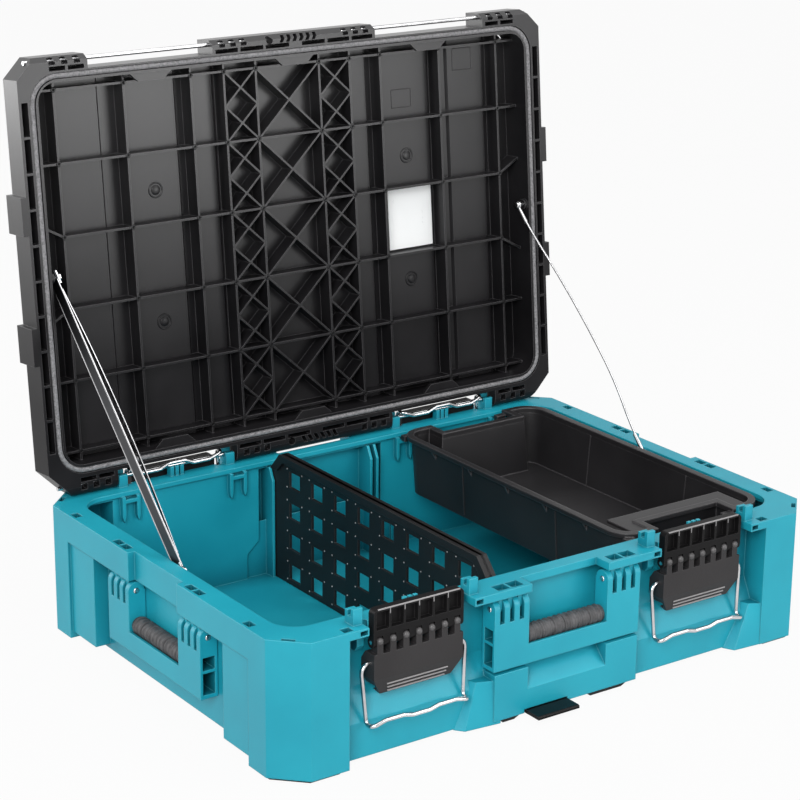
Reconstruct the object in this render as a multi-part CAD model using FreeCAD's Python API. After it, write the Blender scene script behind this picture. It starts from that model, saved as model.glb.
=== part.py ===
import FreeCAD, Part
import math
import os

# Open toolbox. X runs to the right, Y to the back, Z up; the floor is Z = 0 and
# the base is centred on X = Y = 0. All sizes are millimetres.

V = FreeCAD.Vector
os.makedirs("parts", exist_ok=True)

# Base moulding
WIDTH = 650.0
DEPTH = 468.0
RIM_Z = 139.0            # top of the rim
POST_Z = 3.0             # underside of the corner posts
FLOOR_Z = 4.0            # underside of the floor between the posts
FLOOR_TOP = 7.0
WALL = 3.5
CORNER = 30.0            # chamfer of the corner posts
POST_X = 254.0           # inner edge of the posts, front and rear
PANEL_Y = 205.0          # recessed front and rear walls
APRON_Y = 220.0          # foot of those walls, below the latches
APRON_Z = 40.0           # top of its upright part
APRON_TOP = 70.0
BAND_Z = 131.0           # underside of the rim band, front and rear
BAND_Y = 221.5           # rim band behind the latches
SIDE_BAND_Z = 109.0      # underside of the rim band, left and right
SIDE_PANEL_X = 322.0     # shallow side panel
SIDE_POST_Y = 174.0
SIDE_RECESS_X = 305.0    # recess behind the side handles
SIDE_RECESS_Y = 125.0
OPEN_X = 300.0           # opening inside the rim
OPEN_Y = 198.5
OPEN_R = 28.0
BLOCK_X = 88.0           # lower centre block of the front
BLOCK_Y = 232.6
BLOCK_TOP = 53.5
FLANK_TOP = 48.0         # sloped flanks beside the centre block and the right post

# Lid, drawn closed and then swung open about the rear rods
LID_Z = 139.5            # rim plane of the closed lid
LID_SIDE = 30.5          # height of its side walls
LID_TOP = 42.0           # height of its raised top
LID_REAR_Y = 229.0
LID_FRONT_Y = 221.0
LID_CORNER_Y = 201.0     # where the chamfered corners begin
LID_OPEN = 95.3
LID_WALL_Y = 209.0       # wall behind the exposed rear rods
BLOCK_HALF = 101.5       # centre blocks that hold the rods
LUG_X = 246.0            # corner lugs that hold the rods
ROD_Y = 219.0
ROD_Z = 149.5
ROD_R = 2.2
FRONT_SHIFT = 2.5        # front rods and latches lie this much nearer the middle
ROD_INNER = 52.0
ROD_OUTER = 312.0
CAVITY_X = 303.5
CAVITY_Y = 196.0
DECK_Z = LID_Z + 38.0    # inner face of the top
RIB_Z = LID_Z + 18.7     # free edges of the ribs
RIB = 2.4
RIB_COLUMNS = (39.7, 79.0, 118.9, 197.8, 277.0)
RIB_PITCH = 74.6
RIB_ROWS = 6
SEAL_X = 309.5
SEAL_Y = 202.0
SEAL_R = 2.9

# Latches
LATCH_X = 173.5
LATCH_HALF = 50.5
SEAT_OFFSET = 65.0       # outer rod seats from the latch centre
LEVER_PIN = (-225.5, 118.0)
BAIL_PIN = (-222.0, 96.5)
KNUCKLES = 7
KNUCKLE_PITCH = 14.5
WIRE_R = 2.2
BAIL_ARM = 55.0          # bail arms from the latch centre
BAIL_HANG = 174.3        # swing from the hooked to the hanging place
PIN_R = 2.0
BORE_R = 2.05

# Handles, drawn at the front and copied to both sides
HANDLE_HALF = 89.0
ARM_INNER = 48.0
HANDLE_FACE = 232.0
HANDLE_BACK = 213.0
HANDLE_PIN = (-223.0, 119.0)
HANDLE_DROP = 62.0       # pin to the lower edge
SLOT = 5.4
FINGER = 6.2
GRIP_R = 9.0
SIDE_HANDLE_PIN_Z = 97.0

# Tray and divider
TRAY_X = 194.0
TRAY_HALF_X = 91.0
TRAY_HALF_Y = 189.5
TRAY_BOTTOM = 74.0
TRAY_TOP = 141.5
TRAY_FLANGE = 5.0
TRAY_INSET_HALF = 55.0
TRAY_INSET = 25.0
TRAY_WALL = 2.5
LEDGE_Z = 131.0
DIVIDER_X = -64.0
DIVIDER_HALF = 196.0
DIVIDER_TOP = 153.0
DIVIDER_COLUMNS = 8
DIVIDER_ROWS = 4

# Lid stay on the left and lid cable on the right
STAY_BASE = (-10.0, 132.0)
LID_ANCHOR = (0.0, LID_Z + 8.0)
STRIP_WIDTH = 16.0
STRIP = 0.8
CABLE_BASE = (5.0, 131.0)
CABLE_R = 1.2
CABLE_BOW = 13.0


def box(x0, x1, y0, y1, z0, z1):
    return Part.makeBox(x1 - x0, y1 - y0, z1 - z0, V(x0, y0, z0))


def prism(corners, along):
    """Solid with the given corner points, pushed along a vector."""
    return Part.Face(Part.makePolygon(corners + corners[:1])).extrude(along)


def prism_x(points, x0, x1):
    return prism([V(x0, y, z) for y, z in points], V(x1 - x0, 0, 0))


def prism_y(points, y0, y1):
    return prism([V(x, y0, z) for x, z in points], V(0, y1 - y0, 0))


def prism_z(points, z0, z1):
    return prism([V(x, y, z0) for x, y in points], V(0, 0, z1 - z0))


def bar_x(axis, radius, x0, x1):
    """Round bar along X, with its axis at (y, z)."""
    return Part.makeCylinder(radius, x1 - x0, V(x0, axis[0], axis[1]), V(1, 0, 0))


def octagon(half_x, half_y, corner):
    return [
        (half_x, half_y - corner), (half_x - corner, half_y),
        (corner - half_x, half_y), (-half_x, half_y - corner),
        (-half_x, corner - half_y), (corner - half_x, -half_y),
        (half_x - corner, -half_y), (half_x, corner - half_y),
    ]


def rounded_box(half_x, half_y, z0, z1, radius):
    body = box(-half_x, half_x, -half_y, half_y, z0, z1)
    upright = [e for e in body.Edges if abs(e.tangentAt(e.FirstParameter).z) > 0.9]
    return body.makeFillet(radius, upright)


def join(shapes):
    return shapes[0].multiFuse(shapes[1:]).removeSplitter()


def in_x(shape):
    return shape.mirror(V(0, 0, 0), V(1, 0, 0))


def in_y(shape):
    return shape.mirror(V(0, 0, 0), V(0, 1, 0))


def sides(shapes):
    """The shapes and their copies on the other side."""
    return list(shapes) + [in_x(s) for s in shapes]


def fronts(shapes):
    """The shapes and their copies at the other long wall."""
    return list(shapes) + [in_y(s) for s in shapes]


def quarters(shapes):
    return fronts(sides(shapes))


def to_front(shape):
    """Copy of a piece of the rear rods at the front rods."""
    copy = in_y(shape)
    copy.translate(V(0, FRONT_SHIFT, 0))
    return copy


def both_rods(shapes):
    """The shapes by the rear rods, right side, and their copies at all four rods."""
    rear = sides(shapes)
    return rear + [to_front(s) for s in rear]


def turned(shape, axis, degrees):
    """Copy swung about an axis along X at (y, z)."""
    copy = shape.copy()
    copy.rotate(V(0, axis[0], axis[1]), V(1, 0, 0), degrees)
    return copy


def swing_point(point, axis, degrees):
    turn = math.radians(degrees)
    y = point[0] - axis[0]
    z = point[1] - axis[1]
    return (axis[0] + y * math.cos(turn) - z * math.sin(turn),
            axis[1] + y * math.sin(turn) + z * math.cos(turn))


def bent_path(points, bend):
    """Straight runs through the points, joined by tangent arcs."""
    edges = []
    start = points[0]
    for before, corner, after in zip(points, points[1:], points[2:]):
        back = (before - corner).normalize()
        ahead = (after - corner).normalize()
        half = back.getAngle(ahead) / 2
        reach = bend / math.tan(half)
        middle = (back + ahead).normalize()
        into = corner + back * reach
        out = corner + ahead * reach
        crest = corner + middle * (bend / math.sin(half) - bend)
        edges.append(Part.makeLine(start, into))
        edges.append(Part.Arc(into, crest, out).toShape())
        start = out
    edges.append(Part.makeLine(start, points[-1]))
    return Part.Wire(edges)


def bent_wire(points, bend, radius):
    """Round wire along a bent path."""
    ring = Part.makeCircle(radius, points[0], points[1] - points[0])
    return bent_path(points, bend).makePipeShell([Part.Wire(ring)], True, False)


def knuckle_places():
    """Centres of a lever's knuckles from the latch centre."""
    first = -(KNUCKLES - 1) / 2 * KNUCKLE_PITCH
    return [first + i * KNUCKLE_PITCH for i in range(KNUCKLES)]


def arm_slots():
    """Near and far side of each slot in a handle arm."""
    pitch = FINGER + SLOT
    return [(ARM_INNER + FINGER + i * pitch, ARM_INNER + (i + 1) * pitch)
            for i in range(3)]


def base_recesses():
    """What is cut from the outside of the base."""
    latch = LATCH_X
    cuts = fronts([
        box(-POST_X, POST_X, -DEPTH, -PANEL_Y, 0, BAND_Z),
        box(-47, 47, -DEPTH, -214, BAND_Z - 1, RIM_Z + 1),
    ])
    cuts += [
        box(-POST_X, POST_X, -DEPTH, DEPTH, 0, FLOOR_Z),
        box(-WIDTH, WIDTH, -SIDE_POST_Y, SIDE_POST_Y, 0, FLOOR_Z),
    ]
    cuts += sides([
        box(-WIDTH, -SIDE_PANEL_X, -SIDE_POST_Y, SIDE_POST_Y, 0, SIDE_BAND_Z),
        box(-WIDTH, -SIDE_RECESS_X, -SIDE_RECESS_Y, SIDE_RECESS_Y, 0, SIDE_BAND_Z),
        box(-WIDTH, -317.5, -47, 47, SIDE_BAND_Z - 1, RIM_Z + 1),
    ])
    cuts += quarters([
        box(-WIDTH, -SIDE_RECESS_X, SIDE_RECESS_Y, SIDE_POST_Y, 0, 10),
        # square holes below the outer rod seats
        box(104.5, 112.5, -DEPTH, -226, 132.5, 137),
        box(234.5, 242.5, -DEPTH, -226, 132.5, 137),
        # pockets in the rim
        box(314, 322, 56, 69, 133, 140),
        box(314, 322, 71, 84, 133, 140),
        box(314, 322, 160, 172, 133, 140),
        box(248, 258, -231, -222, 133, 140),
        prism_z([(302, 219), (311, 210), (314, 213), (305, 222)], 134, 140),
    ])
    # latch bays in the rim band, with lanes for the bail arms
    cuts += both_rods([
        box(latch - 59.6, latch + 59.6, BAND_Y, DEPTH, BAND_Z - 1, RIM_Z + 1),
        box(latch - 59.6, latch - 51.5, 218, DEPTH, BAND_Z - 1, RIM_Z + 1),
        box(latch + 51.5, latch + 59.6, 218, DEPTH, BAND_Z - 1, RIM_Z + 1),
    ])
    cuts += sides([
        box(54, 68, -230, -217, 133, 140),
        box(70, 84, -230, -217, 133, 140),
    ])
    return cuts


def base_hollow():
    """Inside of the base, with the hollow corner posts."""
    corner = prism_z([
        (POST_X + WALL, 190), (POST_X + WALL, 230.5), (293.5, 230.5),
        (318.5, 205.5), (318.5, 128.5), (290, 128.5), (290, 190),
    ], 13, BAND_Z)
    main = box(-301.5, 301.5, -201.5, 201.5, FLOOR_TOP, 134)
    mouth = rounded_box(OPEN_X, OPEN_Y, FLOOR_TOP, RIM_Z + 1, OPEN_R)
    return [main, mouth] + quarters([corner])


def base_apron():
    """Sloped foot of the front wall, hollow behind."""
    slope = [(-PANEL_Y + 1, FLOOR_Z), (-APRON_Y, FLOOR_Z), (-APRON_Y, APRON_Z),
             (-PANEL_Y, APRON_TOP), (-PANEL_Y + 1, APRON_TOP)]
    return prism_x(slope, -POST_X - 1, POST_X + 1)


def base_flank(bottom, top):
    """Flank between two plan outlines, at the post underside and at its ledge."""
    low = [V(x, y, POST_Z) for x, y in bottom]
    high = [V(x, y, FLANK_TOP) for x, y in top]
    rings = [Part.makePolygon(ring + ring[:1]) for ring in (low, high)]
    return Part.makeLoft(rings, True, True)


def base_flanks():
    """Flanks on the right of both front latch bays."""
    wall = -PANEL_Y + 1
    block = base_flank(
        [(-80, -BLOCK_Y), (-119, -228.5), (-126, -APRON_Y), (-126, wall), (-80, wall)],
        [(-80, -BLOCK_Y), (-104, -224), (-110, -212), (-110, wall), (-80, wall)])
    post = base_flank(
        [(256, -233.5), (222, -231), (216, -APRON_Y), (216, wall), (256, wall)],
        [(256, -233), (243, -226), (238, -212), (238, wall), (256, wall)])
    return [block, post]


def latch_ears():
    """Gussets under the rim band at both ends of a latch, rear right quarter."""
    outline = [(PANEL_Y - 1, BAND_Z + 1), (217, BAND_Z + 1), (217, 113), (213, 108),
               (PANEL_Y - 1, 108)]
    return [prism_x(outline, LATCH_X + a, LATCH_X + b) for a, b in ((-60, -52), (52, 60))]


def rod_seats():
    """Cradles for the lid rod at the rear right latch."""
    cradle = [
        (226, RIM_Z - 1), (226, 155), (221.6, 155), (221.6, 146.9),
        (216.4, 146.9), (216.4, 152), (212.2, 152), (212.2, RIM_Z - 1),
    ]
    saddle = [
        (221.2, RIM_Z - 1), (221.2, 146.9), (216.4, 146.9),
        (216.4, 149.5), (213.2, 149.5), (213.2, RIM_Z - 1),
    ]
    seats = [prism_x(cradle, LATCH_X + side * SEAT_OFFSET - 5, LATCH_X + side * SEAT_OFFSET + 5)
             for side in (-1, 1)]
    seats += [prism_x(saddle, LATCH_X + shift - 2.1, LATCH_X + shift + 2.1)
              for shift in (-5.9, 0, 5.9)]
    return seats


def handle_tabs():
    """Tabs of the base that stand in the slots of the front handle."""
    y, z = HANDLE_PIN
    tabs = []
    for near, far in arm_slots():
        hanger = box(near + 0.4, far - 0.4, y - 5, y + 5, z, BAND_Z + 1)
        tab = join([hanger, bar_x(HANDLE_PIN, 5, near + 0.4, far - 0.4)])
        tabs.append(tab.cut(bar_x(HANDLE_PIN, BORE_R, near, far)))
    return sides(tabs)


def to_left(shape):
    """Copy of a front handle piece at the left wall."""
    copy = shape.copy()
    copy.rotate(V(0, 0, 0), V(0, 0, 1), -90)
    copy.translate(V(HANDLE_FACE - WIDTH / 2, 0, SIDE_HANDLE_PIN_Z - HANDLE_PIN[1]))
    return copy


def inner_brackets():
    """Pronged bracket under a rod seat, in the rear right quarter."""
    pieces = []
    for x in (LATCH_X - SEAT_OFFSET, LATCH_X + SEAT_OFFSET):
        for shift in (-8.5, 8.5):
            outline = [(x + shift - 2, 134), (x + shift - 2, 112), (x + shift, 106),
                       (x + shift + 2, 112), (x + shift + 2, 134)]
            pieces.append(prism_y(outline, 195.5, 203))
        pieces.append(box(x - 7, x + 7, 195.5, 203, LEDGE_Z - 4, LEDGE_Z))
    return pieces


def divider_guides():
    """Pairs of upright ribs that hold the ends of the divider, left or right."""
    x = -DIVIDER_X
    ribs = []
    for inner in (x - 5.6, x + 2.6):
        for wall, side in ((215, 1), (203, -1)):
            outline = [(wall, FLOOR_TOP - 1), (190, FLOOR_TOP - 1), (190, 118), (197, 132), (wall, 132)]
            ribs.append(prism_x([(side * y, z) for y, z in outline], inner, inner + 3))
    return sides(ribs)


def rear_bay(margin, y0, y1):
    """Middle part of the rear wall, which is set back and wider at its foot."""
    side, foot = 80 + margin, 95 + margin
    half = [(foot, FLOOR_TOP - margin), (foot, 35 + margin), (side, 49 + margin), (side, BAND_Z)]
    return prism_y(half + [(-x, z) for x, z in reversed(half)], y0, y1)


def make_base():
    body = prism_z(octagon(WIDTH / 2, DEPTH / 2, CORNER), POST_Z, RIM_Z)
    body = body.cut(base_recesses())
    block = box(-BLOCK_X, BLOCK_X, -BLOCK_Y, -PANEL_Y + 1, 6, BLOCK_TOP)
    scoop = prism_x([(-250, 12), (-211.5, 54), (-211.5, 60), (-250, 60)], -48, 48)
    hidden = box(4 - BLOCK_X, BLOCK_X - 4, -229, -PANEL_Y - 3, 0, 22)
    notch = box(-51.5, 1.5, -240, -PANEL_Y - 3, 0, 10)
    block = block.cut(scoop)
    handle = handle_tabs()
    left = [to_left(t) for t in handle]
    added = [block] + base_flanks() + handle + sides(left)
    added += fronts([base_apron()])
    added += both_rods(rod_seats() + latch_ears())
    body = body.fuse(rear_bay(WALL, PANEL_Y - 1, 217))
    body = body.cut(base_hollow() + [rear_bay(0, 200, 217 - WALL)])
    added += quarters(inner_brackets()) + divider_guides()
    added.append(bar_x(STAY_BASE, 6, -302.5, -298.7))
    added.append(bar_x(CABLE_BASE, 6, 299.9, 302.5))
    body = body.multiFuse(added).removeSplitter()
    screws = [bar_x(STAY_BASE, BORE_R, -304, -290), bar_x(CABLE_BASE, BORE_R, 290, 304)]
    under = quarters([box(130, 250, PANEL_Y + WALL, APRON_Y - WALL, 0, APRON_Z - WALL)])
    return body.cut(screws + under + [hidden, notch])


def make_foot():
    """Rubber pad under the front left post."""
    outline = [(-321, -186), (-321, -203), (-294, -230), (-262, -230), (-262, -218),
               (-309, -186)]
    return prism_z(outline, 0, POST_Z)


def make_latch_plate():
    """Fixed plate of the front left latch."""
    x = -LATCH_X
    plate = box(x - LATCH_HALF, x + LATCH_HALF, -230.5, -221.7, 124.5, 151)
    upper = [e for e in plate.Edges
             if abs(e.tangentAt(e.FirstParameter).y) > 0.9 and e.CenterOfMass.z > 148]
    plate = plate.makeFillet(5, upper)
    cells = 6
    pitch = (2 * LATCH_HALF - 3.6) / cells
    for i in range(cells):
        left = x - LATCH_HALF + 3 + i * pitch
        plate = plate.cut(box(left, left + pitch - 2.4, -240, -224.3, 131, 148.5))
    y, z = LEVER_PIN
    gap = KNUCKLE_PITCH / 2 - 0.4 - 3.2
    places = knuckle_places()
    spans = [(a + KNUCKLE_PITCH / 2 - gap, a + KNUCKLE_PITCH / 2 + gap) for a in places[:-1]]
    edge = places[-1] + 3.6
    spans += [(-LATCH_HALF, -edge), (edge, LATCH_HALF)]
    parts = [plate]
    for a, b in spans:
        parts.append(box(x + a, x + b, -230.5, -221.7, z, 126))
        parts.append(bar_x(LEVER_PIN, 5, x + a, x + b))
    return join(parts).cut(bar_x(LEVER_PIN, BORE_R, x - 60, x + 60))


def make_latch_lever():
    """Lever of the front left latch, hanging closed."""
    x = -LATCH_X
    outline = [(-231, 107), (-231, 82), (-225.5, 65), (-221, 65), (-212, 72),
               (-209.5, 80), (-209.5, 98), (-216, 107)]
    hollow = [(-227.8, 103.5), (-227.8, 82.5), (-223.2, 68), (-200, 68), (-200, 103.5)]
    body = prism_x(outline, x - 50, x + 50)
    body = body.cut(prism_x(hollow, x - 45.5, x + 45.5))
    for side in (-1, 1):
        corner = [(x + side * 51, 83), (x + side * 51, 60), (x + side * 37, 60)]
        body = body.cut(prism_y(corner, -240, -200))
    for share in (0.38, 0.62, 0.86):
        y = -231 + 5.5 * share
        z = 82 - 17 * share
        groove = [(y - 2, z + 1), (y + 0.9, z), (y - 2, z - 1.6)]
        body = body.cut(prism_x(groove, x - 36 + 4 * share, x + 36 - 4 * share))
    parts = [body]
    for place in knuckle_places():
        parts.append(box(x + place - 3.2, x + place + 3.2, -231, -221, 104, LEVER_PIN[1]))
        parts.append(bar_x(LEVER_PIN, 5.5, x + place - 3.2, x + place + 3.2))
    bores = [bar_x(LEVER_PIN, BORE_R, x - 60, x + 60), bar_x(BAIL_PIN, 2.27, x - 60, x + 60)]
    return join(parts).cut(bores)


def make_bail(swing):
    """Wire bail of the front left latch, swung out from the hooked place."""
    hook = ROD_Z - BAIL_PIN[1]
    half = [(45.8, 0, 0), (BAIL_ARM + 4, 0, 0), (BAIL_ARM, -2.6, hook + 5.7),
            (BAIL_ARM, 8, hook + 5.7), (47, 8, hook), (14.5, 8, hook), (9.8, 8, hook + 4.6)]
    whole = [(-x, u, v) for x, u, v in half] + [half[-1 - i] for i in range(len(half))]
    points = [V(x - LATCH_X, BAIL_PIN[0] + u, BAIL_PIN[1] + v) for x, u, v in whole]
    return turned(bent_wire(points, 4.2, WIRE_R), BAIL_PIN, swing)


def make_handle_frame():
    """Front handle: two slotted arms and a channel under the grip."""
    y, z = HANDLE_PIN
    low = z - HANDLE_DROP
    arm = box(ARM_INNER, HANDLE_HALF, -HANDLE_FACE, -HANDLE_BACK, low, z)
    arm = arm.cut([
        box(ARM_INNER + 5, HANDLE_HALF + 1, 3 - HANDLE_FACE, -3 - HANDLE_BACK, low + 4, low + 26),
        box(ARM_INNER + 5, HANDLE_HALF + 1, 3 - HANDLE_FACE, -3 - HANDLE_BACK, low + 29, low + 42),
    ])
    ear = Part.makeCylinder(9, HANDLE_HALF - ARM_INNER, V(ARM_INNER, y, z), V(1, 0, 0))
    arm = join([arm, ear])
    for near, far in arm_slots():
        arm = arm.cut(box(near, far, -240, -200, z - 14, z + 20))
    front = box(-ARM_INNER - 1, ARM_INNER + 1, -HANDLE_FACE, 3.2 - HANDLE_FACE, low, low + 20)
    shelf = box(-ARM_INNER - 1, ARM_INNER + 1, -HANDLE_FACE, -HANDLE_BACK, low, low + 3.5)
    core = bar_x((-221, low + 26), 5, -ARM_INNER - 1, ARM_INNER + 1)
    frame = join([arm, in_x(arm), front, shelf, core])
    return frame.cut(bar_x(HANDLE_PIN, BORE_R, -100, 100))


def make_handle_grip():
    """Rubber sleeve on the front handle, with raised rings."""
    axis = (-221, HANDLE_PIN[1] - HANDLE_DROP + 26)
    sleeve = bar_x(axis, GRIP_R - 1, 0.3 - ARM_INNER, ARM_INNER - 0.3)
    rings = 6
    pitch = 2 * (ARM_INNER - 4) / rings
    parts = [sleeve]
    for i in range(rings):
        start = 4 - ARM_INNER + i * pitch + 2
        parts.append(bar_x(axis, GRIP_R - 0.4, start, start + pitch - 4))
    return join(parts).cut(bar_x(axis, BORE_R + 3, -60, 60))


def lid_outline():
    side = WIDTH / 2

    def right_half(edge, wall):
        chamfer = edge - LID_CORNER_Y
        return [(side, LID_CORNER_Y), (side - chamfer, edge), (LUG_X, edge), (LUG_X, wall),
                (BLOCK_HALF, wall), (BLOCK_HALF, edge)]

    rear = right_half(LID_REAR_Y, LID_WALL_Y)
    front = right_half(LID_FRONT_Y, LID_WALL_Y - 2)
    outline = rear + [(-x, y) for x, y in reversed(rear)]
    return outline + [(-x, -y) for x, y in front] + [(x, -y) for x, y in reversed(front)]


def lid_body():
    """Side walls, raised top and side blocks of the closed lid."""
    walls = prism_z(lid_outline(), LID_Z, LID_Z + LID_SIDE)
    lower = Part.makePolygon([V(x, y, LID_Z + LID_SIDE - 1) for x, y in octagon(320, 207, 30)]
                             + [V(320, 177, LID_Z + LID_SIDE - 1)])
    upper = Part.makePolygon([V(x, y, LID_Z + LID_TOP) for x, y in octagon(310, 199, 27)]
                             + [V(310, 172, LID_Z + LID_TOP)])
    top = Part.makeLoft([lower, upper], True, True)
    blocks = quarters([box(322, 331, 47, 86, LID_Z, LID_Z + LID_SIDE + 2)])
    return join([walls, top] + blocks)


def lid_cuts():
    """Cavity, seal channel, rim pockets and rod housings of the closed lid."""
    cuts = [rounded_box(CAVITY_X, CAVITY_Y, LID_Z - 1, DECK_Z, 20)]
    channel = rounded_box(SEAL_X + 3.2, SEAL_Y + 3.2, LID_Z - 1, LID_Z + 6, 31)
    cuts.append(channel.cut(rounded_box(SEAL_X - 3.2, SEAL_Y - 3.2, LID_Z - 2, LID_Z + 7, 25)))
    cell = 36.0
    for i in range(10):
        y = (i - 5) * cell
        cuts += sides([box(315, 322, y + 1.2, y + cell - 1.2, LID_Z - 1, LID_Z + 22)])
    # grooves along the top
    cuts += sides([box(x, x + 26, -175, 175, LID_Z + LID_TOP - 2, LID_Z + LID_TOP + 1)
                   for x in (84, 139, 223)])
    # the rear edge is rounded about the rods and leans in, so the open lid stands on the rim
    edge = prism_x([(ROD_Y, LID_Z - 1), (ROD_Y + 20, LID_Z - 1), (ROD_Y + 20, ROD_Z + 30),
                    (ROD_Y + 7.8, ROD_Z + 22), (ROD_Y + 9.6, ROD_Z), (ROD_Y, ROD_Z)], -330, 330)
    cuts.append(edge.cut(bar_x((ROD_Y, ROD_Z), 9.8, -331, 331)))
    rod = FRONT_SHIFT - ROD_Y
    cuts.append(prism_x([(rod + 1, LID_Z - 1), (rod - 4.5, ROD_Z - 2), (rod - 20, ROD_Z - 2),
                         (rod - 20, LID_Z - 1)], -330, 330))
    housing = [bar_x((ROD_Y, ROD_Z), ROD_R + 0.05, ROD_INNER, ROD_OUTER)]
    for x in (254, 268, 282):
        housing.append(box(x, x + 7, ROD_Y - 3.5, ROD_Y + 3.5, LID_Z - 1, ROD_Z))
    for x in (60, 73, 86):
        housing.append(box(x, x + 7, ROD_Y - 3.5, ROD_Y + 3.5, LID_Z - 1, ROD_Z))
    for x0, x1 in ((250, 268), (271, 289), (8, 37), (40, 68), (71, 98)):
        housing.append(box(x0, x1, LID_WALL_Y + 0.5, ROD_Y - 5, LID_Z - 1, LID_Z + 24))
    cuts += both_rods(housing)
    lattice = [Part.makeCylinder(4.2, 60, V(-32, ROD_Y - 1, LID_Z - 5), V(0, 0, 1))]
    for i in range(6):
        x = -20 + 8 * i
        slot = [(x, 214.5), (x + 4.5, 214.5), (x + 8.5, 222), (x + 4, 222)]
        lattice.append(prism_z(slot, LID_Z - 1, LID_Z + 20))
    cuts += lattice + [to_front(s) for s in lattice]
    return cuts


def rib_between(start, end, thick):
    """Upright rib of the lid between two points of its plan."""
    along = V(end[0] - start[0], end[1] - start[1], 0)
    across = V(-along.y, along.x, 0).normalize() * (thick / 2)
    a = V(start[0], start[1], RIB_Z)
    b = a + along
    return prism([a - across, b - across, b + across, a + across], V(0, 0, DECK_Z + 1 - RIB_Z))


def lid_ribs():
    """Grid of ribs, with cross braces in the five middle strips of cells."""
    first = -(RIB_ROWS - 1) / 2 * RIB_PITCH
    rows = [first + i * RIB_PITCH for i in range(RIB_ROWS)]
    inner, outer = RIB_COLUMNS[0], RIB_COLUMNS[1]
    ribs = []
    for y in rows:
        reach = RIB_COLUMNS[-1] if abs(y) < RIB_PITCH else CAVITY_X + 0.5
        ribs.append(rib_between((-reach, y), (reach, y), RIB))
    for x in RIB_COLUMNS:
        ribs += sides([rib_between((x, -CAVITY_Y - 0.5), (x, CAVITY_Y + 0.5), RIB)])
    slant = rib_between((RIB_COLUMNS[-1], RIB_PITCH / 2), (CAVITY_X + 0.5, RIB_PITCH / 2 + 15), RIB)
    ribs += quarters([slant])
    for low, high in zip(rows, rows[1:]):
        ribs.append(rib_between((-inner, low), (inner, high), 2))
        ribs.append(rib_between((-inner, high), (inner, low), 2))
        middle = (low + high) / 2
        for a, b in ((low, middle), (middle, high)):
            ribs += sides([rib_between((inner, a), (outer, b), 2),
                           rib_between((inner, b), (outer, a), 2)])
    return ribs


def make_lid():
    """Lid moulding, closed."""
    body = lid_body().cut(lid_cuts())
    bosses = sides([bar_x(LID_ANCHOR, 6, 299.5, 305)])
    body = body.multiFuse(lid_ribs() + bosses).removeSplitter()
    return body.cut(sides([bar_x(LID_ANCHOR, BORE_R, 290, 304.5)]))


def make_gasket():
    """Seal cord of the closed lid, in its channel."""
    level = LID_Z + SEAL_R - 0.2
    radius = 28
    x, y = SEAL_X, SEAL_Y
    points = [V(0, -y, level), V(x, -y, level), V(x, y, level), V(-x, y, level),
              V(-x, -y, level), V(0, -y, level)]
    return bent_wire(points, radius, SEAL_R)


def tray_ring(level, grow):
    """Closed outline of the tray at one level, with rounded corners and end insets."""
    half_x = TRAY_HALF_X + grow
    half_y = TRAY_HALF_Y + grow
    inset = TRAY_INSET_HALF - grow
    radius = 22 + grow
    corner = [V(inset, half_y - TRAY_INSET, level), V(inset, half_y, level),
              V(half_x - radius, half_y, level), V(half_x, half_y - radius, level)]
    mid = V(half_x - radius * (1 - math.sqrt(0.5)), half_y - radius * (1 - math.sqrt(0.5)), level)
    points = []
    arcs = []
    for sx, sy in ((1, 1), (1, -1), (-1, -1), (-1, 1)):
        part = [V(sx * p.x, sy * p.y, level) for p in corner]
        part = part if sx * sy > 0 else part[::-1]
        arcs.append((part[2], part[3]) if sx * sy > 0 else (part[0], part[1]))
        points.append((part, V(sx * mid.x, sy * mid.y, level)))
    edges = []
    loop = [p for part, _ in points for p in part]
    crests = [crest for _, crest in points]
    for i, start in enumerate(loop):
        end = loop[(i + 1) % len(loop)]
        rounded = [k for k, pair in enumerate(arcs) if (pair[0] - start).Length < 1e-6
                   and (pair[1] - end).Length < 1e-6]
        if rounded:
            edges.append(Part.Arc(start, crests[rounded[0]], end).toShape())
        else:
            edges.append(Part.makeLine(start, end))
    return Part.Wire(edges)


def make_tray():
    """Lift-out tray with a rim flange, end insets and feet that stand on the brackets."""
    flange_z = TRAY_TOP - TRAY_FLANGE
    taper = 4.5
    deep = Part.makeLoft([tray_ring(TRAY_BOTTOM, -taper), tray_ring(flange_z + 1, 0)], True, True)
    inside = Part.makeLoft([tray_ring(TRAY_BOTTOM + TRAY_WALL, -taper - TRAY_WALL),
                            tray_ring(flange_z + 1, -TRAY_WALL)], True, True)
    flange = Part.Face(tray_ring(flange_z, TRAY_FLANGE)).extrude(V(0, 0, TRAY_FLANGE))
    mouth = Part.Face(tray_ring(flange_z - 1, -TRAY_WALL)).extrude(V(0, 0, 10))
    # broad flat edge round the front inset
    shelf = box(-75, 75, -189, -144, flange_z, flange_z + 3.5)
    gap = box(5 - TRAY_INSET_HALF, TRAY_INSET_HALF - 5, -200, TRAY_INSET - TRAY_HALF_Y - 5, 100, 150)
    body = join([deep, flange]).cut([inside, mouth])
    added = [shelf.cut(gap)]
    for x in (LATCH_X - SEAT_OFFSET - TRAY_X, LATCH_X + SEAT_OFFSET - TRAY_X):
        added += fronts([box(x - 5.5, x + 5.5, 187.5, 194.5, LEDGE_Z + 0.2, flange_z + 1)])
    # gussets under the long flanges
    gusset = [(TRAY_HALF_X - 2, flange_z + 1), (TRAY_HALF_X + 4, flange_z + 1),
              (TRAY_HALF_X + 4, flange_z - 1), (TRAY_HALF_X - 2, flange_z - 12)]
    for y in (-130, -65, 0, 65, 130):
        added += sides([prism_y(gusset, y - 1.2, y + 1.2)])
    body = join([body] + added)
    body.translate(V(TRAY_X, 0, 0))
    return body


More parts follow.
